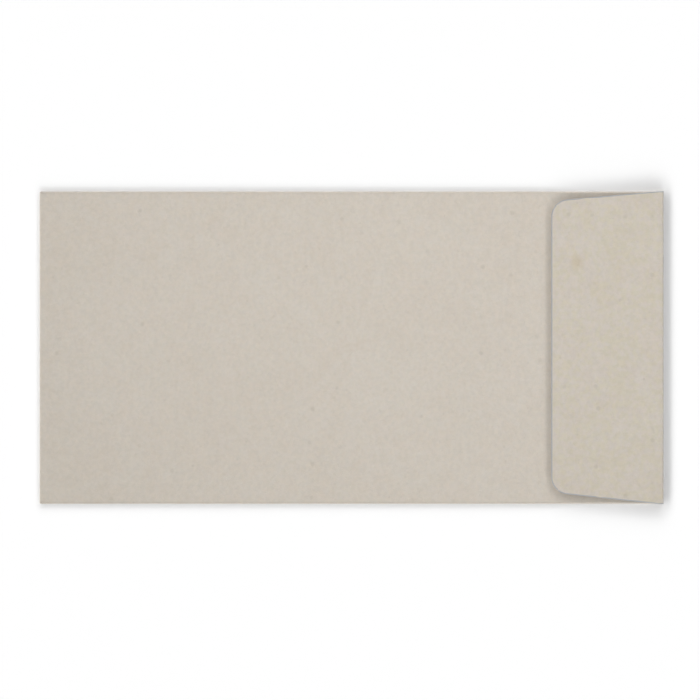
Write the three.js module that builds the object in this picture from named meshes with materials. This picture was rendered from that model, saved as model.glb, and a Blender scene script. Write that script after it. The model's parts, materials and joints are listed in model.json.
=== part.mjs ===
// A pocket envelope lying on its address side, with the closing flap folded over at its right-hand end.
// One die-cut sheet makes all the paper. Its front panel lies on the table, and the back panel, two side
// flaps and the closing flap are turned over it along rolled folds. The side flaps lie inside the pocket,
// glued under the back panel, so the back shows no seam. A strip of gum lines the closing flap.
// Frame: millimetres, +Z up, origin under the middle of the front panel, +X towards the closing flap,
// +Y towards the far side.
//
// The model is folded as the sheet is. Each fold holds a group that turns over with it, and the panel
// beyond the fold is drawn flat in that group: x runs away from the fold, y along it, and z from the
// paper's outer face, at z = 0, to its inner one.
import * as THREE from "three";

// Outside size, measured over the folds.
const ENVELOPE_LENGTH = 220;
const ENVELOPE_WIDTH = 110;

// The sheet, and how the layers lie when the envelope is empty and unpressed.
const PAPER_THICKNESS = 0.15;
const POCKET_HEIGHT = 0.6;
const SEAM_GLUE_THICKNESS = 0.05;
const FLAP_SPRING = 1.2; // air left under the closing flap by the spring of its fold
const FLAP_TURN = 180; // degrees: 180 is folded right over, and 0 wide open

// Back panel: its side edges stop just short of the side folds, and its end leaves the throat open.
const BACK_PANEL_SIDE_CLEARANCE = 0.25;
const THROAT_SETBACK = 12;
const THROAT_CORNER_RADIUS = 5;

// Side flaps, drawn in at both ends.
const SIDE_FLAP_WIDTH = 15;
const SIDE_FLAP_END_TAPER = 9;
const SIDE_FLAP_CORNER_RADIUS = 3;

// Glue on the side flaps.
const SEAM_GLUE_WIDTH = 7;
const SEAM_GLUE_END_MARGIN = 12;
const SEAM_GLUE_CORNER_RADIUS = 3;

// Closing flap: as wide as the envelope at its fold, and drawn in on each side towards its free edge.
const FLAP_DEPTH = 39.5; // from the outside of the fold
const FLAP_FAR_TAPER = 3.4;
const FLAP_NEAR_TAPER = 4.1;
const FLAP_CORNER_RADIUS = 6;

// Gum on the closing flap.
const GUM_THICKNESS = 0.05;
const GUM_WIDTH = 12;
const GUM_EDGE_MARGIN = 3;
const GUM_SIDE_MARGIN = 5;
const GUM_CORNER_RADIUS = 3.5;

// Facets in a quarter turn of a corner or a fold.
const ARC_FACETS = 8;

// Each fold rolls from the front panel's outer face up to the outer face of the layer that it carries.
const sideFlapTop = PAPER_THICKNESS + POCKET_HEIGHT + PAPER_THICKNESS;
const backPanelTop = sideFlapTop + SEAM_GLUE_THICKNESS + PAPER_THICKNESS;
const closingFlapTop = backPanelTop + FLAP_SPRING + PAPER_THICKNESS;
const sideFoldRadius = sideFlapTop / 2;
const bottomFoldRadius = backPanelTop / 2;
const flapFoldRadius = closingFlapTop / 2;

// The front panel's edges, where the folds begin.
const flapEnd = ENVELOPE_LENGTH / 2 - flapFoldRadius;
const closedEnd = -ENVELOPE_LENGTH / 2 + bottomFoldRadius;
const sideEdge = ENVELOPE_WIDTH / 2 - sideFoldRadius;
const sideFoldLength = flapEnd - closedEnd;
const sideFoldMiddle = (closedEnd + flapEnd) / 2;
const throat = ENVELOPE_LENGTH / 2 - THROAT_SETBACK;

const paper = () => new THREE.MeshStandardMaterial({ color: "#ccc4b9", roughness: 0.95, metalness: 0 });
const dextrin = () => new THREE.MeshStandardMaterial({ color: "#d8cba6", roughness: 0.5, metalness: 0 });
const gum = () => new THREE.MeshStandardMaterial({ color: "#cdbf9c", roughness: 0.25, metalness: 0 });

// The closed outline through corners [x, y, radius]. A corner of radius 0 is sharp.
function outline(corners) {
  const points = corners.flatMap(([x, y, radius], index) => {
    const corner = new THREE.Vector2(x, y);
    if (radius === 0) return [corner];
    const toLast = new THREE.Vector2(...corners.at(index - 1)).sub(corner).normalize();
    const toNext = new THREE.Vector2(...corners[(index + 1) % corners.length]).sub(corner).normalize();
    const halfAngle = Math.acos(toLast.dot(toNext)) / 2;
    const centre = toLast.clone().add(toNext).setLength(radius / Math.sin(halfAngle)).add(corner);
    const arcStart = toLast.clone().setLength(radius / Math.tan(halfAngle)).add(corner);
    const startAngle = arcStart.sub(centre).angle();
    const clockwise = toLast.cross(toNext) > 0;
    const endAngle = startAngle + (clockwise ? -1 : 1) * (Math.PI - 2 * halfAngle);
    const round = [centre.x, centre.y, radius, radius, startAngle, endAngle, clockwise];
    return new THREE.EllipseCurve(...round).getPoints(ARC_FACETS);
  });
  return new THREE.Shape(points);
}

// A flat piece of the outline's shape, from z = base upwards.
function sheet(name, corners, base, thickness, material) {
  const settings = { depth: thickness, bevelEnabled: false };
  const mesh = new THREE.Mesh(new THREE.ExtrudeGeometry(outline(corners), settings), material);
  mesh.name = name;
  mesh.position.z = base;
  return mesh;
}

// A panel of the blank, from its outer face upwards.
const panel = (name, corners) => sheet(name, corners, 0, PAPER_THICKNESS, paper());

// A fold at the edge of the front panel. It leaves the panel at (x, y) in the direction of heading, an
// angle about +Z, and rolls up through turn. The pieces beyond it lie in the group that turns over.
function fold(name, outerRadius, length, [x, y, heading], turn, beyond) {
  const bottom = -Math.PI / 2;
  const section = new THREE.Shape();
  section.absarc(0, outerRadius, outerRadius, bottom, bottom + turn, false);
  section.absarc(0, outerRadius, outerRadius - PAPER_THICKNESS, bottom + turn, bottom, true);
  const settings = { depth: length, bevelEnabled: false, curveSegments: ARC_FACETS };
  const geometry = new THREE.ExtrudeGeometry(section, settings);
  geometry.translate(0, 0, -length / 2);
  geometry.rotateX(Math.PI / 2);
  const roll = new THREE.Mesh(geometry, paper());
  roll.name = name;

  const turned = new THREE.Group();
  turned.position.set(outerRadius * Math.sin(turn), 0, outerRadius * (1 - Math.cos(turn)));
  turned.rotation.y = -turn;
  turned.add(...beyond);

  const group = new THREE.Group();
  group.position.set(x, y, 0);
  group.rotation.z = heading;
  group.add(roll, turned);
  return group;
}

// The address side: a plain rectangle between the four folds.
function frontPanel() {
  const corners = [
    [closedEnd, -sideEdge, 0],
    [flapEnd, -sideEdge, 0],
    [flapEnd, sideEdge, 0],
    [closedEnd, sideEdge, 0],
  ];
  return panel("front_panel", corners);
}

// A side flap with its glue, which stops short of the closed end and of the throat. side is 1 for the far
// side and -1 for the near one, where y runs the other way along the envelope.
function foldedSideFlap(prefix, side) {
  const reach = SIDE_FLAP_WIDTH - sideFoldRadius;
  const innerEnd = sideFoldLength / 2 - SIDE_FLAP_END_TAPER;
  const flapCorners = [
    [0, -sideFoldLength / 2, 0],
    [reach, -innerEnd, SIDE_FLAP_CORNER_RADIUS],
    [reach, innerEnd, SIDE_FLAP_CORNER_RADIUS],
    [0, sideFoldLength / 2, 0],
  ];
  const flap = panel(prefix + "_side_flap", flapCorners);

  const glueStart = (reach - SEAM_GLUE_WIDTH) / 2;
  const glueEnd = (reach + SEAM_GLUE_WIDTH) / 2;
  const atThroat = side * (sideFoldMiddle - throat + SEAM_GLUE_END_MARGIN);
  const atClosedEnd = side * (sideFoldMiddle - closedEnd - SEAM_GLUE_END_MARGIN);
  const glueCorners = [
    [glueStart, atThroat, SEAM_GLUE_CORNER_RADIUS],
    [glueEnd, atThroat, SEAM_GLUE_CORNER_RADIUS],
    [glueEnd, atClosedEnd, SEAM_GLUE_CORNER_RADIUS],
    [glueStart, atClosedEnd, SEAM_GLUE_CORNER_RADIUS],
  ];
  const glueName = prefix + "_seam_glue";
  const glue = sheet(glueName, glueCorners, -SEAM_GLUE_THICKNESS, SEAM_GLUE_THICKNESS, dextrin());

  const place = [sideFoldMiddle, side * sideEdge, (side * Math.PI) / 2];
  return fold(prefix + "_side_fold", sideFoldRadius, sideFoldLength, place, Math.PI, [flap, glue]);
}

// The back panel, from the bottom fold to the throat.
function foldedBackPanel() {
  const halfWidth = sideEdge - BACK_PANEL_SIDE_CLEARANCE;
  const corners = [
    [0, -halfWidth, 0],
    [throat - closedEnd, -halfWidth, THROAT_CORNER_RADIUS],
    [throat - closedEnd, halfWidth, THROAT_CORNER_RADIUS],
    [0, halfWidth, 0],
  ];
  const back = panel("back_panel", corners);
  return fold("bottom_fold", bottomFoldRadius, 2 * halfWidth, [closedEnd, 0, Math.PI], Math.PI, [back]);
}

// The closing flap with its gum, which follows the flap's slanted edges.
function foldedClosingFlap() {
  const reach = FLAP_DEPTH - flapFoldRadius;
  const band = (start, end, sideMargin, startRadius, endRadius) => {
    const farEdge = (x) => ENVELOPE_WIDTH / 2 - (FLAP_FAR_TAPER * x) / reach - sideMargin;
    const nearEdge = (x) => -ENVELOPE_WIDTH / 2 + (FLAP_NEAR_TAPER * x) / reach + sideMargin;
    return [
      [start, nearEdge(start), startRadius],
      [end, nearEdge(end), endRadius],
      [end, farEdge(end), endRadius],
      [start, farEdge(start), startRadius],
    ];
  };
  const flap = panel("closing_flap", band(0, reach, 0, 0, FLAP_CORNER_RADIUS));

  const gumEnd = reach - GUM_EDGE_MARGIN;
  const gumCorners = band(gumEnd - GUM_WIDTH, gumEnd, GUM_SIDE_MARGIN, GUM_CORNER_RADIUS, GUM_CORNER_RADIUS);
  const strip = sheet("closing_gum", gumCorners, PAPER_THICKNESS, GUM_THICKNESS, gum());

  const turn = THREE.MathUtils.degToRad(FLAP_TURN);
  return fold("flap_fold", flapFoldRadius, ENVELOPE_WIDTH, [flapEnd, 0, 0], turn, [flap, strip]);
}

const envelope = new THREE.Group();
envelope.add(
  frontPanel(),
  foldedSideFlap("far", 1),
  foldedSideFlap("near", -1),
  foldedBackPanel(),
  foldedClosingFlap(),
);

export default envelope;
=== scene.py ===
"""A pocket envelope of recycled grey paper, lying on its address side with the closing flap folded over.

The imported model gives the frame. Each piece of paper, each line of glue and the strip of gum is modelled
over its own solid, in metres: +X towards the closing flap, +Y towards the far side and +Z up.
"""

import json
from math import pi, radians, tan

import bmesh
import bpy
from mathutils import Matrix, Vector


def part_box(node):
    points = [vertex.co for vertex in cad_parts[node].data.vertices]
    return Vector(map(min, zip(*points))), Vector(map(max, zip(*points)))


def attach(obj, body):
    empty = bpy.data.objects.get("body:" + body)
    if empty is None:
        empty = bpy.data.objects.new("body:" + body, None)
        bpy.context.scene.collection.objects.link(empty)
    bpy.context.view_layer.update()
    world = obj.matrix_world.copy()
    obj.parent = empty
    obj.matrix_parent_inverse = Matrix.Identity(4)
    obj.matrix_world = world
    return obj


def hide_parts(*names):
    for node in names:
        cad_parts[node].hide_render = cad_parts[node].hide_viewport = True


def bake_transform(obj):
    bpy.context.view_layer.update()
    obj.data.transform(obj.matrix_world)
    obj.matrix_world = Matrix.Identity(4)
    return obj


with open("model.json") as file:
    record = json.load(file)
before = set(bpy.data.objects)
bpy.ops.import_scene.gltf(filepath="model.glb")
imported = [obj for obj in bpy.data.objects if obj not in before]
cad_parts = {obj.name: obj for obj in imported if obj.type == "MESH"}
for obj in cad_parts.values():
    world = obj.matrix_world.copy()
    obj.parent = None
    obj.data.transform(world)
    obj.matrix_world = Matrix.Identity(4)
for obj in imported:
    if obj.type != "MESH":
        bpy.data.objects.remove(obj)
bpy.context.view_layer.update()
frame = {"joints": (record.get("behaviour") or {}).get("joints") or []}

bl_info = {
    "name": "Pocket Envelope",
    "version": (1, 0, 0),
    "blender": (4, 5, 0),
    "location": "3D View > Sidebar > Envelope",
    "description": "Models a pocket envelope of recycled paper with a gummed closing flap",
    "category": "Add Mesh",
}

MM = 0.001
SAME_PLACE = 1e-6  # places nearer to each other than this count as one
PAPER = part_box("front_panel")[1].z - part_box("front_panel")[0].z
FOLD_AXIS = Vector(next(joint["pos_m"] for joint in frame["joints"] if joint["name"] == "flap_hinge"))

# Spacing of the cuts across each kind of piece, and facets of its curves
PANEL_GRID = 6 * MM
WAVY_GRID = 2.5 * MM  # for the back panel and the closing flap, which have waves
SIDE_FLAP_GRID = 5 * MM
SIDE_FLAP_CROSS_GRID = 3 * MM
GUM_GRID = 2 * MM
CORNER_FACETS = 12
HALF_TURN_FACETS = 24
FLAT_BACK_FACETS = 10  # for the flat back of the flap's fold
SMOOTH_ANGLE = radians(35)

# Small shapes
STRIP = 0.3 * MM  # flat paper that the flap's fold takes from the panel on each side of it
BACK_EDGE_SPREAD = 0.2 * MM  # how far the back panel's side edges spread over the side folds
BACK_EDGE_DROP = 0.05 * MM
PILLOW_START = -64 * MM  # the part of the back panel's middle line that rises
PILLOW_END = 26 * MM
RIPPLE_LENGTH = 34 * MM
RIPPLE_SHIFT = 12 * MM  # how far the rippled part lies towards the closed end
RIPPLE_MARGIN = 14 * MM  # how far it stops short of the panel's ends
FLAP_WAVE_HEIGHT = 0.05 * MM
FLAP_WAVE_LENGTH = 30 * MM
FLAP_WAVE_FADE = 15 * MM  # how far from the fold the flap's waves are full
SEAM_GLUE_CORNER = 3 * MM
GUM_CORNER = 3.5 * MM
TAPER_STEPS = 16  # levels at which the flap's fold narrows
TAPER = 3e-5  # share of its width that it loses at each

# Painted light and shade on the folds: tints that lighten a fold where the lamps leave its curve in shade
# and darken it where they light it brightly, and where each starts and is full, from 0 at a fold's edges to
# 1 outermost
BOTTOM_FOLD_PAINTED_LIGHT = [((1.02, 1.035, 1.06), 0.5, 1.0)]
SIDE_FOLD_PAINTED_LIGHT = [((1.10, 1.10, 1.105), 0.0, 0.2), ((0.74, 0.77, 0.81), 0.5, 0.95)]  # painted highlight where the back panel's step shades the roll, then painted shade on its brightly lit outermost line
FLAP_FOLD_PAINTED_LIGHT = [((1.17, 1.195, 1.22), 0.4, 0.85)]
FLAP_FOLD_PAINTED_SHADE = 0.36  # how much of the rim's grey the flap fold's outermost line has, as painted shade for the dark line beside the fold
STAIN_PLACE = 79.6 * MM, 30.2 * MM, 2.45 * MM  # of the one brown stain on the flap

# Table, light and camera
FLOOR_SIZE = 6
FLOOR_DROP = 0.01 * MM
CAMERA_PLACE = -0.45 * MM, -0.82 * MM, 1.0302
CAMERA_LENS = 150  # this and the sensor's width are in millimetres
CAMERA_SENSOR = 36
DOME_LIGHT = 0.03  # from the whole sky alike
WALL_LIGHT = 5.60  # at the brightest line of the tent's wall
WALL_SLANT = 0.36  # how much brighter the tent's wall is towards the closed end
WALL_SQUEEZE = 0.42  # how much brighter it is on the long sides than on the short ones
WALL_MIDDLE = radians(18.5)  # how high its brightest line is, seen from the table, on the long sides
WALL_LIFT = radians(14)  # how much higher that line is on the short sides
WALL_SPREAD = radians(5.5)
BELOW_LIGHT = 0.5  # from under the table, for looking at the address side


def linear(red, green, blue):
    """A colour written as 0 to 255 in sRGB, as linear light."""

    def light(level):
        return level / 255 / 12.92 if level <= 10 else ((level / 255 + 0.055) / 1.055) ** 2.4

    return light(red), light(green), light(blue)


# Settings


class EnvelopeShape(bpy.types.PropertyGroup):
    """Sizes that a user may change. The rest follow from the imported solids."""

    flap_far_taper: bpy.props.FloatProperty(
        name="Flap Far Taper",
        description="How far the flap is drawn in at its free edge, on the far side",
        default=3.4 * MM, min=0, unit="LENGTH")
    flap_near_taper: bpy.props.FloatProperty(
        name="Flap Near Taper",
        description="How far the flap is drawn in at its free edge, on the near side",
        default=4.1 * MM, min=0, unit="LENGTH")
    flap_corner_radius: bpy.props.FloatProperty(
        name="Flap Corner Radius",
        description="Radius of the two free corners of the closing flap",
        default=6 * MM, min=0, unit="LENGTH")
    throat_corner_radius: bpy.props.FloatProperty(
        name="Throat Corner Radius",
        description="Radius of the back panel's corners at the throat",
        default=5 * MM, min=0, unit="LENGTH")
    side_flap_taper: bpy.props.FloatProperty(
        name="Side Flap Taper",
        description="How far each end of a side flap is drawn in",
        default=9 * MM, min=0, unit="LENGTH")
    side_flap_corner_radius: bpy.props.FloatProperty(
        name="Side Flap Corner Radius",
        description="Radius of a side flap's inner corners",
        default=3 * MM, min=0, unit="LENGTH")
    gum_side_margin: bpy.props.FloatProperty(
        name="Gum Side Margin",
        description="Bare paper between the gum and the flap's slanted edges",
        default=5 * MM, min=0, unit="LENGTH")
    fold_corner_radius: bpy.props.FloatProperty(
        name="Fold Corner Radius",
        description="Radius of the two soft corners of the closing flap's fold",
        default=0.7 * MM, min=0.2 * MM, unit="LENGTH")
    # The rim band is burnished, and is also painted darker as painted shade along the flap's edge.
    rim_width: bpy.props.FloatProperty(
        name="Rim Width",
        description="Width of the burnished rim that the die leaves round the closing flap",
        default=0.5 * MM, min=0, unit="LENGTH")
    closed_corner_reach: bpy.props.FloatProperty(
        name="Closed Corner Reach",
        description="How far the closed end's fold runs past the back panel's edges",
        default=0.7 * MM, min=0, unit="LENGTH")
    side_bulge: bpy.props.FloatProperty(
        name="Side Bulge",
        description="How far the side folds bulge out past a round fold, and the flap with them",
        default=0.15 * MM, min=0, unit="LENGTH")
    fold_bulge: bpy.props.FloatProperty(
        name="Fold Bulge",
        description="How far the closing flap's fold bulges out past its packed solid",
        default=0.12 * MM, min=0, unit="LENGTH")
    pillow: bpy.props.FloatProperty(
        name="Pillow",
        description="How far the back panel rises between the two seams",
        default=0.5 * MM, min=0, unit="LENGTH")
    ripple: bpy.props.FloatProperty(
        name="Ripple",
        description="Height of the gentle waves in the back panel",
        default=0.12 * MM, min=0, unit="LENGTH")


class EnvelopeFinish(bpy.types.PropertyGroup):
    """Colours that a user may change."""

    body_colour: bpy.props.FloatVectorProperty(
        name="Body Paper",
        description="Colour of the paper on the pocket",
        subtype="COLOR", default=linear(201.4, 193.3, 182.7), min=0, max=1)
    flap_colour: bpy.props.FloatVectorProperty(
        name="Flap Paper",
        description="Colour of the paper on the closing flap",
        subtype="COLOR", default=linear(199.3, 191.1, 179.9), min=0, max=1)
    # The rim is a burnished band, painted darker and bluer than burnish alone as painted shade for the dark
    # line along the flap's edge.
    rim_and_shade_colour: bpy.props.FloatVectorProperty(
        name="Rim",
        description="Colour of the burnished rim of the closing flap",
        subtype="COLOR", default=linear(164, 167, 171), min=0, max=1)
    gum_colour: bpy.props.FloatVectorProperty(
        name="Gum",
        description="Colour of the dried gum on the closing flap",
        subtype="COLOR", default=linear(204, 190, 156), min=0, max=1)
    glue_colour: bpy.props.FloatVectorProperty(
        name="Seam Glue",
        description="Colour of the dried glue in the seams",
        subtype="COLOR", default=linear(216, 203, 166), min=0, max=1)
    floor_colour: bpy.props.FloatVectorProperty(
        name="Floor",
        description="Colour of the table and of the air above it",
        subtype="COLOR", default=(1, 1, 1), min=0, max=1)


# Sheet forming


def deselect_everything():
    if bpy.context.mode != "OBJECT":
        bpy.ops.object.mode_set(mode="OBJECT")
    bpy.ops.object.select_all(action="DESELECT")


def start_plane(name, low, high, turn=(0, 0, 0)):
    """A plane added at its place and resized in edit mode to the flat box from low to high."""
    low, high = Vector(low), Vector(high)
    deselect_everything()
    bpy.ops.mesh.primitive_plane_add(size=1, location=(low + high) / 2, rotation=turn)
    piece = bpy.context.active_object
    piece.name = piece.data.name = name
    bpy.ops.object.mode_set(mode="EDIT")
    bpy.ops.mesh.select_all(action="SELECT")
    bpy.ops.transform.resize(value=[side if side > 1e-9 else 1 for side in high - low])
    bpy.ops.object.mode_set(mode="OBJECT")
    bpy.ops.object.transform_apply(location=True, rotation=True, scale=True)
    bpy.ops.object.mode_set(mode="EDIT")
    return piece


def flat_sheet(name, low, high):
    """A flat sheet over the box from low to high, at the height of its top."""
    return start_plane(name, (low.x, low.y, high.z), high)


def corners_of(low, high):
    """The corners of that sheet, in turn."""
    top = high.z
    return [(low.x, low.y, top), (high.x, low.y, top), (high.x, high.y, top), (low.x, high.y, top)]


def widened(low, high, by):
    """A box made wider along y, on both sides."""
    margin = Vector((0, by, 0))
    return Vector(low) - margin, Vector(high) + margin


def pick(piece, kind, test):
    """In edit mode, selects the vertices, edges or faces all of whose corners pass the test."""
    bpy.ops.mesh.select_mode(type=kind)
    bpy.ops.mesh.select_all(action="DESELECT")
    shape = bmesh.from_edit_mesh(piece.data)
    for part in {"VERT": shape.verts, "EDGE": shape.edges, "FACE": shape.faces}[kind]:
        corners = [part] if kind == "VERT" else part.verts
        if all(test(corner.co) for corner in corners):
            part.select_set(True)
    bmesh.update_edit_mesh(piece.data)


def near(place):
    return lambda point: (point - Vector(place)).length < SAME_PLACE


def cut_across(piece, axis, places):
    """Cuts the whole piece across an axis at each place."""
    for place in places:
        bpy.ops.mesh.select_all(action="SELECT")
        at, along = Vector(), Vector()
        at[axis], along[axis] = place, 1
        bpy.ops.mesh.bisect(plane_co=at, plane_no=along)


def even_steps(low, high, spacing):
    """Places between low and high, evenly spaced and symmetrical about the middle."""
    count = max(1, round((high - low) / spacing / 2)) * 2
    return [low + (high - low) * step / count for step in range(1, count)]


def gridded(piece, low, high, along, across):
    """Cuts a sheet into cells, at one spacing along x and another along y."""
    cut_across(piece, 0, even_steps(low.x, high.x, along))
    cut_across(piece, 1, even_steps(low.y, high.y, across))


def drawn_in(piece, corner, by):
    """Moves one corner of a flat sheet."""
    pick(piece, "VERT", near(corner))
    bpy.ops.transform.translate(value=by)
    return Vector(corner) + Vector(by)


def rounded(piece, corner, radius, before, after):
    """Rounds one corner of a flat sheet, given the corners before and after it."""
    half_angle = (Vector(before) - Vector(corner)).angle(Vector(after) - Vector(corner)) / 2
    pick(piece, "VERT", near(corner))
    bpy.ops.mesh.bevel(
        offset=radius / tan(half_angle), segments=CORNER_FACETS, affect="VERTICES", profile=0.5)


def rounded_at(piece, corners, indices, radius):
    """Rounds some of a sheet's four corners alike."""
    for index in indices:
        rounded(piece, corners[index], radius, corners[index - 1], corners[(index + 1) % 4])


def inset_rim(width):
    bpy.ops.mesh.select_mode(type="FACE")
    bpy.ops.mesh.select_all(action="SELECT")
    bpy.ops.mesh.inset(thickness=width, use_even_offset=True)


def thickened(piece, thickness):
    bpy.ops.object.mode_set(mode="OBJECT")
    wall = piece.modifiers.new("Wall", "SOLIDIFY")
    wall.thickness = thickness
    wall.offset = -1
    wall.use_even_offset = True
    bpy.ops.object.modifier_apply(modifier=wall.name)


def rippled(piece, height, wavelength, weight):
    """Gentle waves, faded by the weight at each point."""
    bpy.ops.object.mode_set(mode="OBJECT")
    group = piece.vertex_groups.new(name="free")
    for vertex in piece.data.vertices:
        group.add([vertex.index], max(0, min(1, weight(vertex.co))), "REPLACE")
    texture = bpy.data.textures.new(piece.name + "_waves", "CLOUDS")
    texture.noise_scale = wavelength
    texture.noise_depth = 1
    waves = piece.modifiers.new("Waves", "DISPLACE")
    waves.texture = texture
    waves.texture_coords = "LOCAL"
    waves.direction = "Z"
    waves.mid_level = 0.5
    waves.strength = height * 2
    waves.vertex_group = group.name
    bpy.ops.object.modifier_apply(modifier=waves.name)
    bpy.ops.object.mode_set(mode="EDIT")


def written(piece, name, value):
    """Keeps a number at each vertex for the material to read."""
    if piece.mode != "OBJECT":
        bpy.ops.object.mode_set(mode="OBJECT")
    attribute = piece.data.attributes.new(name, "FLOAT", "POINT")
    attribute.data.foreach_set("value", [value(vertex) for vertex in piece.data.vertices])


def ramp(value, start, end):
    """How far a value has come from start to end, and 0 before the start."""
    return max(0, value - start) / (end - start)


def border(piece):
    """The vertices on the cut outline of a sheet that has no thickness yet."""
    faces = {}
    for face in piece.data.polygons:
        for key in face.edge_keys:
            faces[key] = faces.get(key, 0) + 1
    return {vertex for key, count in faces.items() if count == 1 for vertex in key}


def rolled(name, edge_low, edge_high, centre, axis, strip=None, corner=None):
    """Paper rolled half round a fold. The sheet's end face stands between edge_low and edge_high, and turns
    round the axis through centre, against the right hand.

    strip is a flat length kept on both sides. corner is the radius of the fold's two corners, for a fold
    with a flat back between them instead of one round back."""
    along_y = abs(axis[1]) > 0.5
    turn = (0, radians(90), 0) if along_y else (radians(90), 0, 0)
    steps = HALF_TURN_FACETS
    centre = Vector(centre)
    back = Vector((0, 0, 2 * (centre.z - corner) if corner else 0))
    forward = Vector((back.z / 2, 0, 0))
    piece = start_plane(name, Vector(edge_low) + forward, Vector(edge_high) + forward, turn)
    bpy.ops.mesh.select_all(action="SELECT")
    if corner:
        bpy.ops.mesh.spin(steps=steps // 2, angle=pi / 2, center=centre + forward - back / 2, axis=axis)
        for _ in range(FLAT_BACK_FACETS):
            bpy.ops.mesh.extrude_region_move(TRANSFORM_OT_translate={"value": back / FLAT_BACK_FACETS})
        bpy.ops.mesh.spin(steps=steps // 2, angle=pi / 2, center=centre + forward + back / 2, axis=axis)
    else:
        bpy.ops.mesh.spin(steps=steps, angle=pi, center=centre, axis=axis)
    line = centre.x + forward.x if along_y else centre.y
    side = 0 if along_y else 1
    if strip:
        for above in (False, True):
            pick(piece, "FACE", lambda p: abs(p[side] - line) < SAME_PLACE and (p.z > centre.z) == above)
            bpy.ops.mesh.extrude_region_move(TRANSFORM_OT_translate={"value": Vector(strip) - forward})
    bpy.ops.mesh.select_all(action="SELECT")
    bpy.ops.mesh.remove_doubles(threshold=1e-7)
    bpy.ops.mesh.normals_make_consistent(inside=False)
    return piece


def finished(piece, material, slot, *nodes):
    """Smooths a piece, gives it its finish, and sets it in place of its solids."""
    deselect_everything()
    piece.select_set(True)
    bpy.context.view_layer.objects.active = piece
    bpy.ops.object.shade_smooth_by_angle(angle=SMOOTH_ANGLE)
    piece.data.materials.clear()
    piece.data.materials.append(material)
    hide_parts(*nodes)
    return piece


# Materials


def add(tree, kind, inputs, **settings):
    """Adds a shader node. An input is a value or a socket to join to it."""
    node = tree.nodes.new("ShaderNode" + kind)
    for name, value in settings.items():
        setattr(node, name, value)
    for key, value in inputs.items():
        if isinstance(value, bpy.types.NodeSocket):
            tree.links.new(value, node.inputs[key])
        else:
            node.inputs[key].default_value = value
    return node


def vector(tree, operation, *inputs):
    node = add(tree, "VectorMath", dict(enumerate(inputs)), operation=operation)
    return node.outputs["Value" if operation == "DISTANCE" else "Vector"]


def new_material(name):
    """An empty material and its node tree."""
    material = bpy.data.materials.new(name)
    material.use_nodes = True
    material.node_tree.nodes.clear()
    return material, material.node_tree


def finish_material(tree, finish):
    add(tree, "OutputMaterial", {"Surface": finish.outputs[0]})


def millimetres(tree, stretch=(1, 1, 1), shift=(0, 0, 0)):
    """The place on the object in millimetres, stretched and shifted for one pattern."""
    place = add(tree, "TexCoord", {}).outputs["Object"]
    scale = tuple(s / MM for s in stretch)
    return add(tree, "Mapping", {"Vector": place, "Scale": scale, "Location": shift}).outputs[0]


def noise(tree, place, size, detail=1.0, distortion=0.0):
    """Noise from 0 to 1 whose patches are about size millimetres wide."""
    settings = {"Vector": place, "Scale": 1 / size, "Detail": detail, "Roughness": 0.55}
    return add(tree, "TexNoise", {**settings, "Distortion": distortion}).outputs[0]


def between(tree, value, low, high, to_low=0.0, to_high=1.0, way="SMOOTHSTEP"):
    """A value that runs from to_low to to_high as the given one runs from low to high."""
    ends = {"Value": value, "From Min": low, "From Max": high, "To Min": to_low, "To Max": to_high}
    return add(tree, "MapRange", ends, interpolation_type=way).outputs[0]


def calc(tree, operation, first, second=0.0):
    return add(tree, "Math", {0: first, 1: second}, operation=operation).outputs[0]


def blended(tree, factor, first, second, way="MIX"):
    colours = {0: factor, 6: first, 7: second}
    for index in (6, 7):
        if not isinstance(colours[index], bpy.types.NodeSocket):
            colours[index] = (*colours[index][:3], 1)
    node = add(tree, "Mix", colours, data_type="RGBA", blend_type=way, clamp_factor=True)
    return node.outputs[2]


def tinted(tree, colour, factor, low, high):
    """Multiplies a colour by a tint that runs from low to high with the factor. The colour may be plain."""
    return blended(tree, 1.0, colour, blended(tree, factor, low, high), "MULTIPLY")


def specks(tree, place, spacing, radius, share, seed):
    """Round specks: (how much of a speck is here, a random number for each speck)."""
    moved = vector(tree, "ADD", place, (seed * 17.3, seed * 5.1, 0))
    cells = add(tree, "TexVoronoi", {"Vector": moved, "Scale": 1 / spacing}, voronoi_dimensions="2D")
    chance = add(tree, "SeparateColor", {"Color": cells.outputs["Color"]})
    size = between(tree, chance.outputs[0], 1 - share, 1.0, 0.0, radius / spacing)
    edge = calc(tree, "ADD", size, 1e-4)
    core = calc(tree, "MULTIPLY", edge, 0.35)
    return between(tree, cells.outputs["Distance"], core, edge, 1.0, 0.0), chance.outputs[1]


def fibres(tree, place, size, width, seed):
    """Thin curved hairs, broken into short lengths."""
    moved = vector(tree, "ADD", place, (seed * 31.7, seed * 11.9, 0))
    level = noise(tree, moved, size, 0.0, 1.2)
    gap = calc(tree, "ABSOLUTE", calc(tree, "SUBTRACT", level, 0.5))
    hair = between(tree, gap, 0.0, width / size * 0.6, 1.0, 0.0)
    broken = between(tree, noise(tree, moved, size * 0.8, 0.0), 0.5, 0.62)
    return calc(tree, "MULTIPLY", hair, broken)


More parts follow.
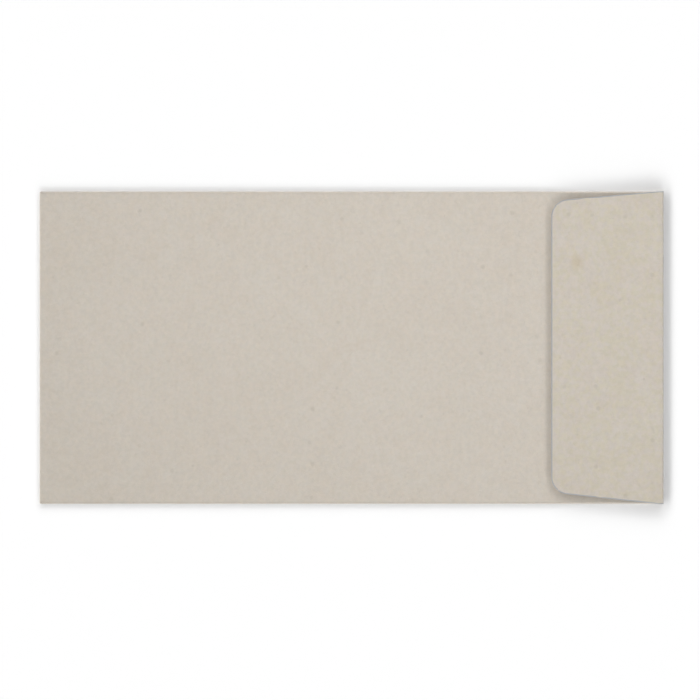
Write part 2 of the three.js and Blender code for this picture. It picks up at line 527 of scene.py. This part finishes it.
def paper(name, colour, stained=False, rim=None, creases=(), smudge=None):
    """Uncoated recycled paper: cloudy fibre with mixed warm and cool patches, hairs, flecks and a tooth.

    stained adds yellow blotches, rim is the colour of a burnished edge band that is painted darker as
    painted shade along the edge, the fold tints are painted light and shade along a fold's curve, and
    smudge is the place of one brown stain."""
    material, tree = new_material(name)
    place = millimetres(tree)
    jitter = add(tree, "TexNoise", {"Vector": place, "Scale": 1.9, "Detail": 1.0}).outputs["Color"]
    centred = vector(tree, "SUBTRACT", jitter, (0.5, 0.5, 0.5))
    shaken = vector(tree, "MULTIPLY_ADD", centred, (0.9, 0.9, 0.9), place)
    frayed = vector(tree, "MULTIPLY_ADD", centred, (0.4, 0.4, 0.4), place)

    # Painted light falloff: the sheet is painted a little darker away from one place, standing in for lamp
    # light that falls off across it.
    away = vector(tree, "DISTANCE", millimetres(tree, (0.85, 1, 0)), (51, 60, 0))
    painted_falloff = between(tree, calc(tree, "POWER", away, 2), 0, 30000, way="LINEAR")
    shade = tinted(tree, colour, painted_falloff, (1.05, 1.05, 1.05), (0.927, 0.927, 0.924))
    # Broad clouds and flocks, then warm and cool pulp, rosy and green patches, mottling, grain and felt.
    clouds = between(tree, noise(tree, place, 38, 2.0), 0.3, 0.7)
    shade = tinted(tree, shade, clouds, (0.995, 0.993, 0.990), (1.005, 1.007, 1.010))
    flocks = between(tree, noise(tree, place, 7.5, 2.0), 0.3, 0.7)
    shade = tinted(tree, shade, flocks, (1.000, 0.993, 0.989), (1.000, 1.007, 1.010))
    warm = between(tree, noise(tree, place, 1.7, 2.0), 0.32, 0.68)
    shade = tinted(tree, shade, warm, (1.007, 1.001, 0.987), (0.993, 0.999, 1.013))
    rosy = between(tree, noise(tree, shaken, 1.1, 2.0), 0.32, 0.68)
    shade = tinted(tree, shade, rosy, (1.006, 0.997, 1.000), (0.992, 1.001, 0.996))
    contrast = 1.12 if stained else 1.0
    for size, low, high in ((1.45, 0.974, 1.017), (3.3, 0.987, 1.010)):
        mottle = between(tree, noise(tree, shaken, size, 1.0), 0.3, 0.66)
        dark = [1 - (1 - low) * contrast * part for part in (1.0, 0.98, 1.15)]
        shade = tinted(tree, shade, mottle, dark, (high, high, high))
    grain = noise(tree, place, 0.45, 2.0)
    grains = between(tree, grain, 0.25, 0.75)
    shade = tinted(tree, shade, grains, (0.983, 0.983, 0.982), (1.014, 1.014, 1.013))
    felt = noise(tree, place, 0.13, 2.0, 0.6)
    felting = between(tree, felt, 0.3, 0.7)
    shade = tinted(tree, shade, felting, (0.965, 0.963, 0.958), (1.035, 1.036, 1.038))
    if stained:
        # Yellow-green blotches that gather in loose drifts on a greyer ground.
        drifts = calc(tree, "MULTIPLY", noise(tree, place, 11, 1.0), 0.32)
        blotch = calc(tree, "ADD", noise(tree, shaken, 2.1, 2.0), drifts)
        blotch = between(tree, blotch, 0.55, 0.79)
        shade = tinted(tree, shade, blotch, (1.003, 1.001, 1.022), (0.991, 0.995, 0.938))

    # Hairs, then flecks of bark and old ink of three sizes.
    pale = fibres(tree, place, 3.1, 0.12, 1)
    dark = fibres(tree, place, 2.6, 0.10, 2)
    shade = blended(tree, calc(tree, "MULTIPLY", pale, 0.11), shade, (0.80, 0.76, 0.69))
    shade = blended(tree, calc(tree, "MULTIPLY", dark, 0.10), shade, (0.30, 0.26, 0.21))
    for spacing, radius, share, depth, tone in (
            (10.0, 1.10, 0.70, 0.17, (0.23, 0.20, 0.14)),
            (4.3, 0.66, 0.60, 0.085, (0.24, 0.20, 0.16)),
            (3.1, 0.34, 0.50, 0.06, (0.82, 0.80, 0.76))):
        spot, strength = specks(tree, frayed, spacing, radius, share, spacing)
        depth_here = calc(tree, "MULTIPLY", calc(tree, "MULTIPLY", spot, depth), strength)
        shade = blended(tree, depth_here, shade, tone)

    if smudge:
        away = vector(tree, "DISTANCE", shaken, [side / MM for side in smudge])
        mark = between(tree, away, 0.4, 3.2, 0.32, 0.0)
        shade = blended(tree, mark, shade, linear(186, 168, 138))
    if creases:
        # Painted light and shade on the folds: tints that lighten a fold where the lamps leave its curve in
        # shade and darken it where they light it brightly, made patchy by noise.
        outward = add(tree, "Attribute", {}, attribute_name="crease").outputs["Fac"]
        patchy = between(tree, noise(tree, place, 1.3, 3.0), 0.35, 0.7, 0.7, 1.0)
        for tint, start, end in creases:
            fold_paint = calc(tree, "MULTIPLY", between(tree, outward, start, end), patchy)
            shade = tinted(tree, shade, fold_paint, (1, 1, 1), tint)
    if rim:
        # Burnished rim band, painted darker as painted shade along the flap's cut edge.
        burnish_and_shade = add(tree, "Attribute", {}, attribute_name="rim").outputs["Fac"]
        uneven = between(tree, noise(tree, place, 2.2, 2.0), 0.3, 0.7, 0.85, 1.0)
        amount = calc(tree, "MULTIPLY", between(tree, burnish_and_shade, 0.0, 0.5), uneven)
        shade = blended(tree, amount, shade, rim)

    height = calc(tree, "ADD", calc(tree, "MULTIPLY", grain, 0.6), calc(tree, "MULTIPLY", warm, 0.25))
    height = calc(tree, "ADD", height, calc(tree, "MULTIPLY", felt, 0.5))
    height = calc(tree, "ADD", height, calc(tree, "MULTIPLY", calc(tree, "MAXIMUM", pale, dark), 0.3))
    tooth = add(tree, "Bump", {"Strength": 0.55, "Distance": 0.02 * MM, "Height": height}).outputs[0]
    finish = add(tree, "BsdfPrincipled", {
        "Base Color": shade, "Normal": tooth, "Roughness": between(tree, grain, 0.3, 0.7, 0.84, 0.95),
        "Specular IOR Level": 0.25})
    finish_material(tree, finish)
    return material


def dried_film(name, colour, roughness, relief):
    """Dried adhesive: a thin glassy film with the streaks of its roller and a few pinholes."""
    material, tree = new_material(name)
    place = millimetres(tree)
    streaks = noise(tree, millimetres(tree, (2.4, 0.12, 1)), 1.0, 3.0)
    pools = noise(tree, place, 3.5, 2.0)
    shade = tinted(tree, colour, between(tree, streaks, 0.3, 0.7), (0.955, 0.945, 0.91), (1.04, 1.04, 1.05))
    shade = tinted(tree, shade, between(tree, pools, 0.3, 0.7), (0.975, 0.97, 0.95), (1.02, 1.02, 1.03))
    holes, _ = specks(tree, place, 2.6, 0.22, 0.5, 4)
    shade = blended(tree, calc(tree, "MULTIPLY", holes, 0.45), shade, linear(203, 195, 184))
    height = calc(tree, "SUBTRACT", calc(tree, "ADD", streaks, pools), calc(tree, "MULTIPLY", holes, 0.8))
    surface = add(tree, "Bump", {"Strength": 0.6, "Distance": relief, "Height": height}).outputs[0]
    finish = add(tree, "BsdfPrincipled", {
        "Base Color": shade, "Normal": surface,
        "Roughness": between(tree, pools, 0.3, 0.7, roughness, roughness + 0.15)})
    finish_material(tree, finish)
    return material


def body_paper(name="recycled_paper", creases=()):
    """Paper of the pocket's colour, made the first time that it is asked for."""
    colour = bpy.context.scene.envelope_finish.body_colour
    return bpy.data.materials.get(name) or paper(name, colour, creases=creases)


# Operators


class ENVELOPE_OT_front_panel(bpy.types.Operator):
    """Model the front panel, which lies on the table"""

    bl_idname = "envelope.front_panel"
    bl_label = "Front Panel"

    def execute(self, context):
        low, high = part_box("front_panel")
        piece = start_plane("front_sheet", (low.x, low.y, high.z), (high.x - STRIP, high.y, high.z))
        gridded(piece, low, high, PANEL_GRID, PANEL_GRID)
        thickened(piece, high.z - low.z)
        finished(piece, body_paper(), "paper", "front_panel")
        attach(piece, "pocket")
        return {"FINISHED"}


class ENVELOPE_OT_back_panel(bpy.types.Operator):
    """Model the back panel, raised a little between the seams"""

    bl_idname = "envelope.back_panel"
    bl_label = "Back Panel"

    def execute(self, context):
        shape = context.scene.envelope_shape
        low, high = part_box("back_panel")
        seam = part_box("far_side_flap")[0].y
        piece = flat_sheet("back_sheet", low, high)
        rounded_at(piece, corners_of(low, high), (1, 2), shape.throat_corner_radius)
        gridded(piece, low, high, WAVY_GRID, WAVY_GRID)
        for way in (1, -1):
            pick(piece, "VERT", lambda p: way * p.y > high.y - SAME_PLACE and p.x > low.x + SAME_PLACE)
            bpy.ops.transform.translate(value=(0, way * BACK_EDGE_SPREAD, -BACK_EDGE_DROP))
        pick(piece, "VERT", lambda p: abs(p.y) < SAME_PLACE and PILLOW_START < p.x < PILLOW_END)
        bpy.ops.transform.translate(
            value=(0, 0, shape.pillow), use_proportional_edit=True,
            proportional_edit_falloff="SMOOTH", proportional_size=seam)
        reach = (high.x - low.x) / 2 - RIPPLE_MARGIN
        middle = (high.x + low.x) / 2
        # The waves die out at the seams and towards both ends.
        rippled(piece, shape.ripple, RIPPLE_LENGTH, lambda p: min(
            1.6 * (1 - abs(p.y) / seam), 2.5 * (1 - abs(p.x - middle + RIPPLE_SHIFT) / reach)))
        thickened(piece, high.z - low.z)
        finished(piece, body_paper(), "paper", "back_panel")
        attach(piece, "pocket")
        return {"FINISHED"}


class ENVELOPE_OT_body_folds(bpy.types.Operator):
    """Model the rolled folds at the closed end and along both sides"""

    bl_idname = "envelope.body_folds"
    bl_label = "Body Folds"

    def execute(self, context):
        low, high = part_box("bottom_fold")
        radius = high.x - low.x
        shape = context.scene.envelope_shape
        reach = Vector((0, shape.closed_corner_reach, 0))
        ends = Vector((high.x, low.y, 0)) - reach, Vector((high.x, high.y, PAPER)) + reach
        piece = rolled("bottom_roll", *ends, (high.x, 0, radius), (0, -1, 0))
        cut_across(piece, 1, even_steps(low.y, high.y, PANEL_GRID))
        written(piece, "crease", lambda vertex: (high.x - vertex.co.x) / radius)
        finished(piece, body_paper("folded_paper", BOTTOM_FOLD_PAINTED_LIGHT), "paper", "bottom_fold")
        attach(piece, "pocket")
        for side, way in (("far", 1), ("near", -1)):
            low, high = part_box(side + "_side_fold")
            line = low.y if way > 0 else high.y
            radius = high.y - low.y
            ends = (low.x, line, 0), (high.x, line, PAPER)
            piece = rolled(side + "_side_roll", *ends, (0, line, radius), (-way, 0, 0))
            fuller = 1 + shape.side_bulge / radius
            bpy.ops.transform.resize(value=(1, fuller, 1), center_override=(0, line, 0))
            cut_across(piece, 0, even_steps(low.x, high.x, PANEL_GRID))
            written(piece, "crease", lambda vertex: way * (vertex.co.y - line) / (radius * fuller))
            finished(piece, body_paper("side_fold_paper", SIDE_FOLD_PAINTED_LIGHT), "paper", side + "_side_fold")
            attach(piece, "pocket")
        return {"FINISHED"}


class ENVELOPE_OT_side_flaps(bpy.types.Operator):
    """Model the two side flaps inside the pocket"""

    bl_idname = "envelope.side_flaps"
    bl_label = "Side Flaps"

    def execute(self, context):
        shape = context.scene.envelope_shape
        for side, way in (("far", 1), ("near", -1)):
            low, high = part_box(side + "_side_flap")
            top = high.z
            inner, outer = (low.y, high.y) if way > 0 else (high.y, low.y)
            piece = flat_sheet(side + "_side_sheet", low, high)
            ends = []
            for end, inward in ((low.x, 1), (high.x, -1)):
                ends.append(drawn_in(piece, (end, inner, top), (inward * shape.side_flap_taper, 0, 0)))
            for index, fold_end in enumerate((low.x, high.x)):
                beside = ends[1 - index]
                rounded(piece, ends[index], shape.side_flap_corner_radius, (fold_end, outer, top), beside)
            gridded(piece, low, high, SIDE_FLAP_GRID, SIDE_FLAP_CROSS_GRID)
            thickened(piece, high.z - low.z)
            finished(piece, body_paper(), "paper", side + "_side_flap")
            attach(piece, "pocket")
        return {"FINISHED"}


class ENVELOPE_OT_seam_glue(bpy.types.Operator):
    """Model the lines of glue between the side flaps and the back panel"""

    bl_idname = "envelope.seam_glue"
    bl_label = "Seam Glue"

    def execute(self, context):
        colour = context.scene.envelope_finish.glue_colour
        glue = dried_film("dried_seam_glue", colour, roughness=0.5, relief=0.01 * MM)
        for side in ("far", "near"):
            low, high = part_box(side + "_seam_glue")
            piece = flat_sheet(side + "_glue_line", low, high)
            rounded_at(piece, corners_of(low, high), range(4), SEAM_GLUE_CORNER)
            cut_across(piece, 0, even_steps(low.x, high.x, SIDE_FLAP_GRID))
            thickened(piece, high.z - low.z)
            finished(piece, glue, "seam_glue", side + "_seam_glue")
            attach(piece, "pocket")
        return {"FINISHED"}


def flap_paper(name, **features):
    finish = bpy.context.scene.envelope_finish
    return paper(name, finish.flap_colour, stained=True, rim=tuple(finish.rim_and_shade_colour), **features)


def flap_waves(piece):
    """The same gentle waves for the flap and its gum, dying out at the fold."""
    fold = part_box("closing_flap")[1].x - STRIP
    rippled(piece, FLAP_WAVE_HEIGHT, FLAP_WAVE_LENGTH, lambda p: (fold - p.x) / FLAP_WAVE_FADE)


class ENVELOPE_OT_closing_flap(bpy.types.Operator):
    """Model the closing flap, with its slanted edges and rounded corners"""

    bl_idname = "envelope.closing_flap"
    bl_label = "Closing Flap"

    def execute(self, context):
        shape = context.scene.envelope_shape
        low, high = widened(*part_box("closing_flap"), shape.side_bulge)
        top = high.z
        piece = flat_sheet("closing_flap_sheet", low, high)
        near_corner = drawn_in(piece, (low.x, low.y, top), (0, shape.flap_near_taper, 0))
        far_corner = drawn_in(piece, (low.x, high.y, top), (0, -shape.flap_far_taper, 0))
        fold_corners = (high.x, low.y, top), (high.x, high.y, top)
        rounded(piece, near_corner, shape.flap_corner_radius, far_corner, fold_corners[0])
        rounded(piece, far_corner, shape.flap_corner_radius, near_corner, fold_corners[1])
        inset_rim(shape.rim_width)
        end = high.x - STRIP
        bpy.ops.mesh.select_all(action="SELECT")
        bpy.ops.mesh.bisect(plane_co=(end, 0, 0), plane_no=(1, 0, 0), clear_outer=True)
        gridded(piece, low, high, WAVY_GRID, WAVY_GRID)
        flap_waves(piece)
        bpy.ops.object.mode_set(mode="OBJECT")
        outline = border(piece)
        # The rim goes round the outline, up to the two corners at the fold.
        written(piece, "rim", lambda vertex: float(vertex.index in outline and (
            vertex.co.x < end - SAME_PLACE or abs(vertex.co.y) > high.y - shape.rim_width / 2)))
        thickened(piece, high.z - low.z)
        finished(piece, flap_paper("flap_paper", smudge=STAIN_PLACE), "paper", "closing_flap")
        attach(piece, "flap")
        return {"FINISHED"}


class ENVELOPE_OT_flap_fold(bpy.types.Operator):
    """Model the rolled fold of the closing flap"""

    bl_idname = "envelope.flap_fold"
    bl_label = "Flap Fold"

    def execute(self, context):
        shape = context.scene.envelope_shape
        low, high = widened(*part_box("flap_fold"), shape.side_bulge)
        line = low.x
        radius = high.x - low.x
        ends = (line, low.y, 0), (line, high.y, PAPER)
        corner = shape.fold_corner_radius
        piece = rolled("flap_fold_roll", *ends, FOLD_AXIS, (0, 1, 0), (-STRIP, 0, 0), corner)
        pick(piece, "VERT", lambda p: p.x > line + SAME_PLACE)
        reach = radius + shape.fold_bulge
        bpy.ops.transform.resize(value=(reach / radius, 1, 1), center_override=(line, 0, 0))
        rim = shape.rim_width
        cut_across(piece, 1, [low.y + rim, *even_steps(low.y, high.y, PANEL_GRID), high.y - rim])
        # The fold narrows a little upwards, so that its cut ends would not lie in one plane if it were
        # unrolled.
        for step in range(1, TAPER_STEPS):
            level = high.z * step / TAPER_STEPS
            pick(piece, "VERT", lambda p: abs(p.y) > high.y - rim / 2 and p.z > level)
            bpy.ops.transform.resize(value=(1, 1 - TAPER, 1), center_override=(line, 0, radius))
        written(piece, "crease", lambda vertex: max(0, vertex.co.x - line) / reach)
        # The rim fades out as the paper goes round the fold, and the fold's outermost line is painted grey
        # as painted shade for the dark line beside it.
        written(piece, "rim", lambda vertex: max(
            ramp(vertex.co.z / radius, 1.1, 2) if abs(vertex.co.y) > high.y - rim / 2 else 0,
            ramp((vertex.co.x - line) / reach, 0.8, 1) * FLAP_FOLD_PAINTED_SHADE))
        finished(piece, flap_paper("flap_fold_paper", creases=FLAP_FOLD_PAINTED_LIGHT), "paper", "flap_fold")
        start = FOLD_AXIS.copy()
        start.z = PAPER
        end = FOLD_AXIS.copy()
        end.z = high.z - PAPER
        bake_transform(piece)
        return {"FINISHED"}


class ENVELOPE_OT_closing_gum(bpy.types.Operator):
    """Model the strip of dried gum on the inside of the closing flap"""

    bl_idname = "envelope.closing_gum"
    bl_label = "Closing Gum"

    def execute(self, context):
        shape = context.scene.envelope_shape
        flap_low, flap_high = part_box("closing_flap")
        low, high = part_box("closing_gum")
        top = high.z
        # The strip keeps the same margin to the flap's slanted edges all along.
        width = flap_high.y - shape.gum_side_margin
        piece = start_plane("gum_strip", (low.x, -width, top), (high.x, width, top))
        corners = []
        for x, way in ((low.x, -1), (high.x, -1), (high.x, 1), (low.x, 1)):
            taper = shape.flap_far_taper if way > 0 else shape.flap_near_taper
            inward = -way * taper * (flap_high.x - x) / (flap_high.x - flap_low.x)
            corners.append(drawn_in(piece, (x, way * width, top), (0, inward, 0)))
        rounded_at(piece, corners, range(4), GUM_CORNER)
        gridded(piece, low, high, GUM_GRID, GUM_GRID)
        flap_waves(piece)
        thickened(piece, high.z - low.z)
        colour = context.scene.envelope_finish.gum_colour
        gum = dried_film("dried_gum", colour, roughness=0.32, relief=0.012 * MM)
        finished(piece, gum, "gum", "closing_gum")
        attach(piece, "flap")
        return {"FINISHED"}


def light_tent(colour):
    """Soft light from all round: an even dome, and a brighter band of tent wall above the table's edge.

    The wall is brightest on the closed end's side. The two together light a level sheet at about 1."""
    world = bpy.data.worlds.new("light_tent")
    world.use_nodes = True
    tree = world.node_tree
    tree.nodes.clear()
    toward = add(tree, "TexCoord", {}).outputs["Generated"]
    parts = add(tree, "SeparateXYZ", {0: toward})
    elevation = calc(tree, "ARCSINE", parts.outputs["Z"])
    bearing = vector(tree, "NORMALIZE", vector(tree, "MULTIPLY", toward, (1, 1, 0)))
    across = add(tree, "SeparateXYZ", {0: bearing}).outputs["X"]
    short_side = calc(tree, "MULTIPLY", across, across)
    middle = calc(tree, "ADD", calc(tree, "MULTIPLY", short_side, WALL_LIFT), WALL_MIDDLE)
    off_middle = calc(tree, "DIVIDE", calc(tree, "SUBTRACT", elevation, middle), WALL_SPREAD)
    band = calc(tree, "EXPONENT", calc(tree, "MULTIPLY", calc(tree, "POWER", off_middle, 2), -0.5))
    lopsided = calc(tree, "SUBTRACT", 1 + WALL_SQUEEZE, calc(tree, "MULTIPLY", across, WALL_SLANT))
    lopsided = calc(tree, "SUBTRACT", lopsided, calc(tree, "MULTIPLY", short_side, 2 * WALL_SQUEEZE))
    wall = calc(tree, "MULTIPLY", calc(tree, "MULTIPLY", band, lopsided), WALL_LIGHT)
    tent = calc(tree, "ADD", wall, DOME_LIGHT)
    # Even light comes from below, so that the address side can be looked at with the table hidden.
    below = calc(tree, "MULTIPLY", calc(tree, "LESS_THAN", parts.outputs["Z"], 0.0), BELOW_LIGHT)
    tent = calc(tree, "MAXIMUM", tent, below)
    # The camera and the reflections see an even white, and only the light itself has the tent's pattern.
    rays = add(tree, "LightPath", {})
    seen = calc(tree, "MAXIMUM", rays.outputs["Is Camera Ray"], rays.outputs["Is Glossy Ray"])
    seen = calc(tree, "MAXIMUM", seen, rays.outputs["Is Transmission Ray"])
    strength = add(tree, "Mix", {0: seen, 2: tent, 3: 1.0}).outputs[0]
    background = add(tree, "Background", {"Color": (*colour, 1), "Strength": strength})
    add(tree, "OutputWorld", {"Surface": background.outputs[0]})
    return world


class ENVELOPE_OT_stage(bpy.types.Operator):
    """Set the white table, the soft light and the camera straight above"""

    bl_idname = "envelope.stage"
    bl_label = "Table, Light and Camera"

    def execute(self, context):
        scene = context.scene
        floor_colour = tuple(scene.envelope_finish.floor_colour)
        deselect_everything()
        bpy.ops.mesh.primitive_plane_add(size=FLOOR_SIZE, location=(0, 0, -FLOOR_DROP))
        floor = context.active_object
        floor.name = "table_top"
        surface, tree = new_material("white_table")
        finish_material(tree, add(tree, "BsdfDiffuse", {"Color": (*floor_colour, 1)}))
        floor.data.materials.append(surface)
        scene.world = light_tent(floor_colour)

        bpy.ops.object.camera_add(location=CAMERA_PLACE, rotation=(0, 0, 0))
        camera = context.active_object
        camera.name = "camera_above"
        camera.data.lens = CAMERA_LENS
        camera.data.sensor_width = CAMERA_SENSOR
        scene.camera = camera
        scene.view_settings.view_transform = "Standard"
        return {"FINISHED"}


class VIEW3D_PT_envelope(bpy.types.Panel):
    """Lists the envelope's sizes, colours and pieces"""

    bl_label = "Pocket Envelope"
    bl_space_type = "VIEW_3D"
    bl_region_type = "UI"
    bl_category = "Envelope"

    def draw(self, context):
        for group in (context.scene.envelope_shape, context.scene.envelope_finish):
            box = self.layout.box()
            for name in group.__annotations__:
                box.prop(group, name)
        for operator in OPERATORS:
            self.layout.operator(operator.bl_idname)


OPERATORS = (
    ENVELOPE_OT_front_panel,
    ENVELOPE_OT_body_folds,
    ENVELOPE_OT_side_flaps,
    ENVELOPE_OT_seam_glue,
    ENVELOPE_OT_back_panel,
    ENVELOPE_OT_closing_flap,
    ENVELOPE_OT_flap_fold,
    ENVELOPE_OT_closing_gum,
    ENVELOPE_OT_stage,
)
CLASSES = (EnvelopeShape, EnvelopeFinish, *OPERATORS, VIEW3D_PT_envelope)


def register():
    for each in CLASSES:
        bpy.utils.register_class(each)
    bpy.types.Scene.envelope_shape = bpy.props.PointerProperty(type=EnvelopeShape)
    bpy.types.Scene.envelope_finish = bpy.props.PointerProperty(type=EnvelopeFinish)


def unregister():
    del bpy.types.Scene.envelope_finish
    del bpy.types.Scene.envelope_shape
    for each in reversed(CLASSES):
        bpy.utils.unregister_class(each)


def main():
    register()
    bpy.ops.envelope.front_panel()
    bpy.ops.envelope.body_folds()
    bpy.ops.envelope.side_flaps()
    bpy.ops.envelope.seam_glue()
    bpy.ops.envelope.back_panel()
    bpy.ops.envelope.closing_flap()
    bpy.ops.envelope.flap_fold()
    bpy.ops.envelope.closing_gum()
    bpy.ops.envelope.stage()


if __name__ == "__main__":
    main()
